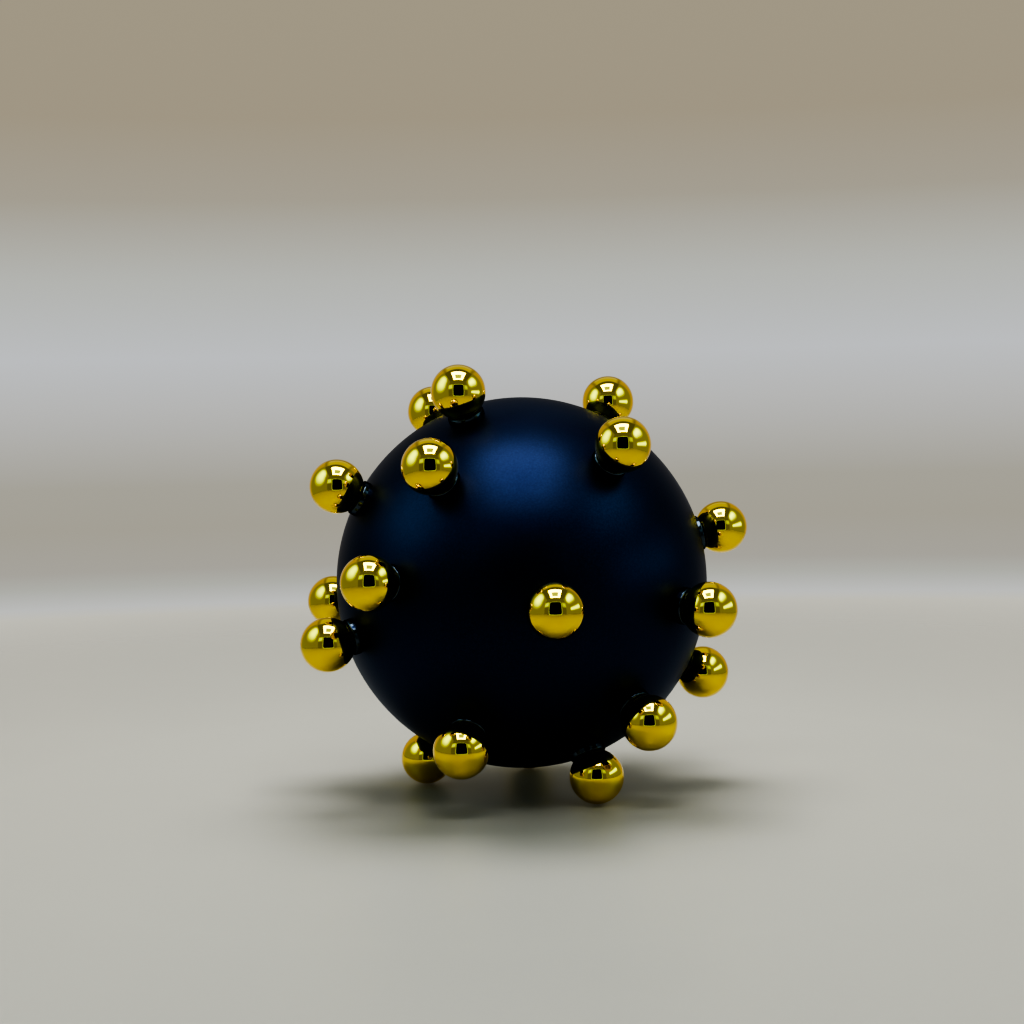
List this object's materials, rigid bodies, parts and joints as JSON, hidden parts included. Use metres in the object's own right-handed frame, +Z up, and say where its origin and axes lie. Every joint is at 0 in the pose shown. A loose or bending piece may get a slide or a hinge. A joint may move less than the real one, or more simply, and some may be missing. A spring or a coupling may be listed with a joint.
{
  "type": "magnetic desk sculpture",
  "caption": "Hollow satin blue-black steel sphere dotted with polished gold magnet balls that hold on by their own pull; it stands on the lowest of them.",
  "frame": {"origin": "on the table, straight below the centre of the large sphere", "axes": "+Z up, -Y towards the front of the sculpture, +X to its right as seen from the front"},
  "size_m": [0.086, 0.0884, 0.0804],
  "materials": {
    "satin_blue_steel": "satin blue-black lacquer with a metallic depth",
    "bare_steel": "plain pressed steel",
    "gold_plate": "mirror-polished gold plating"
  },
  "bodies": {
    "sphere": {"upper_shell": "satin_blue_steel", "lower_shell": "satin_blue_steel", "seam_ring": "bare_steel"},
    "ball_crown_front_left": {"ball_crown_front_left": "gold_plate"},
    "ball_crown_back_right": {"ball_crown_back_right": "gold_plate"},
    "ball_crown_back_left": {"ball_crown_back_left": "gold_plate"},
    "ball_shoulder_front_right": {"ball_shoulder_front_right": "gold_plate"},
    "ball_shoulder_front_left": {"ball_shoulder_front_left": "gold_plate"},
    "ball_shoulder_left": {"ball_shoulder_left": "gold_plate"},
    "ball_shoulder_back": {"ball_shoulder_back": "gold_plate"},
    "ball_shoulder_right": {"ball_shoulder_right": "gold_plate"},
    "ball_waist_front_left": {"ball_waist_front_left": "gold_plate"},
    "ball_waist_front": {"ball_waist_front": "gold_plate"},
    "ball_waist_right": {"ball_waist_right": "gold_plate"},
    "ball_waist_back_right": {"ball_waist_back_right": "gold_plate"},
    "ball_waist_back": {"ball_waist_back": "gold_plate"},
    "ball_waist_back_left": {"ball_waist_back_left": "gold_plate"},
    "ball_waist_left": {"ball_waist_left": "gold_plate"},
    "ball_hip_right": {"ball_hip_right": "gold_plate"},
    "ball_hip_front_right": {"ball_hip_front_right": "gold_plate"},
    "ball_hip_front_left": {"ball_hip_front_left": "gold_plate"},
    "foot_ball_front_right": {"foot_ball_front_right": "gold_plate"},
    "foot_ball_back_left": {"foot_ball_back_left": "gold_plate"},
    "foot_ball_back": {"foot_ball_back": "gold_plate"}
  },
  "joints": [
    {"name": "pull_off_crown_front_left", "type": "slide", "parent": "sphere", "child": "ball_crown_front_left", "axis": [-0.2685, -0.3563, 0.8949], "range_m": [0, 0.03], "stiffness_N_per_m": 5, "springref_m": -0.2},
    {"name": "pull_off_crown_back_right", "type": "slide", "parent": "sphere", "child": "ball_crown_back_right", "axis": [0.4393, 0.2963, 0.848], "range_m": [0, 0.03], "stiffness_N_per_m": 5, "springref_m": -0.2},
    {"name": "pull_off_crown_back_left", "type": "slide", "parent": "sphere", "child": "ball_crown_back_left", "axis": [-0.4195, 0.3912, 0.8192], "range_m": [0, 0.03], "stiffness_N_per_m": 5, "springref_m": -0.2},
    {"name": "pull_off_shoulder_front_right", "type": "slide", "parent": "sphere", "child": "ball_shoulder_front_right", "axis": [0.4557, -0.6158, 0.6428], "range_m": [0, 0.03], "stiffness_N_per_m": 5, "springref_m": -0.2},
    {"name": "pull_off_shoulder_front_left", "type": "slide", "parent": "sphere", "child": "ball_shoulder_front_left", "axis": [-0.3869, -0.7277, 0.5664], "range_m": [0, 0.03], "stiffness_N_per_m": 5, "springref_m": -0.2},
    {"name": "pull_off_shoulder_left", "type": "slide", "parent": "sphere", "child": "ball_shoulder_left", "axis": [-0.8381, -0.2643, 0.4772], "range_m": [0, 0.03], "stiffness_N_per_m": 5, "springref_m": -0.2},
    {"name": "pull_off_shoulder_back", "type": "slide", "parent": "sphere", "child": "ball_shoulder_back", "axis": [0.0905, 0.8613, 0.5], "range_m": [0, 0.03], "stiffness_N_per_m": 5, "springref_m": -0.2},
    {"name": "pull_off_shoulder_right", "type": "slide", "parent": "sphere", "child": "ball_shoulder_right", "axis": [0.9629, 0.1353, 0.2334], "range_m": [0, 0.03], "stiffness_N_per_m": 5, "springref_m": -0.2},
    {"name": "pull_off_waist_front_left", "type": "slide", "parent": "sphere", "child": "ball_waist_front_left", "axis": [-0.661, -0.7471, 0.0698], "range_m": [0, 0.03], "stiffness_N_per_m": 5, "springref_m": -0.2},
    {"name": "pull_off_waist_front", "type": "slide", "parent": "sphere", "child": "ball_waist_front", "axis": [0.139, -0.9893, -0.0436], "range_m": [0, 0.03], "stiffness_N_per_m": 5, "springref_m": -0.2},
    {"name": "pull_off_waist_right", "type": "slide", "parent": "sphere", "child": "ball_waist_right", "axis": [0.83, -0.5494, -0.0958], "range_m": [0, 0.03], "stiffness_N_per_m": 5, "springref_m": -0.2},
    {"name": "pull_off_waist_back_right", "type": "slide", "parent": "sphere", "child": "ball_waist_back_right", "axis": [0.6123, 0.7837, -0.1045], "range_m": [0, 0.03], "stiffness_N_per_m": 5, "springref_m": -0.2},
    {"name": "pull_off_waist_back", "type": "slide", "parent": "sphere", "child": "ball_waist_back", "axis": [-0.2228, 0.9649, -0.1392], "range_m": [0, 0.03], "stiffness_N_per_m": 5, "springref_m": -0.2},
    {"name": "pull_off_waist_back_left", "type": "slide", "parent": "sphere", "child": "ball_waist_back_left", "axis": [-0.9315, 0.3483, -0.1045], "range_m": [0, 0.03], "stiffness_N_per_m": 5, "springref_m": -0.2},
    {"name": "pull_off_waist_left", "type": "slide", "parent": "sphere", "child": "ball_waist_left", "axis": [-0.8813, -0.4109, -0.2334], "range_m": [0, 0.03], "stiffness_N_per_m": 5, "springref_m": -0.2},
    {"name": "pull_off_hip_right", "type": "slide", "parent": "sphere", "child": "ball_hip_right", "axis": [0.8667, 0.1685, -0.4695], "range_m": [0, 0.03], "stiffness_N_per_m": 5, "springref_m": -0.2},
    {"name": "pull_off_hip_front_right", "type": "slide", "parent": "sphere", "child": "ball_hip_front_right", "axis": [0.5517, -0.5917, -0.5878], "range_m": [0, 0.03], "stiffness_N_per_m": 5, "springref_m": -0.2},
    {"name": "pull_off_hip_front_left", "type": "slide", "parent": "sphere", "child": "ball_hip_front_left", "axis": [-0.2799, -0.6757, -0.682], "range_m": [0, 0.03], "stiffness_N_per_m": 5, "springref_m": -0.2},
    {"name": "pull_off_foot_front_right", "type": "slide", "parent": "sphere", "child": "foot_ball_front_right", "axis": [0.3228, -0.3916, -0.8616], "range_m": [0, 0.03], "stiffness_N_per_m": 5, "springref_m": -0.2},
    {"name": "pull_off_foot_back_left", "type": "slide", "parent": "sphere", "child": "foot_ball_back_left", "axis": [-0.4769, 0.1736, -0.8616], "range_m": [0, 0.03], "stiffness_N_per_m": 5, "springref_m": -0.2},
    {"name": "pull_off_foot_back", "type": "slide", "parent": "sphere", "child": "foot_ball_back", "axis": [0.0177, 0.5072, -0.8616], "range_m": [0, 0.03], "stiffness_N_per_m": 5, "springref_m": -0.2}
  ]
}
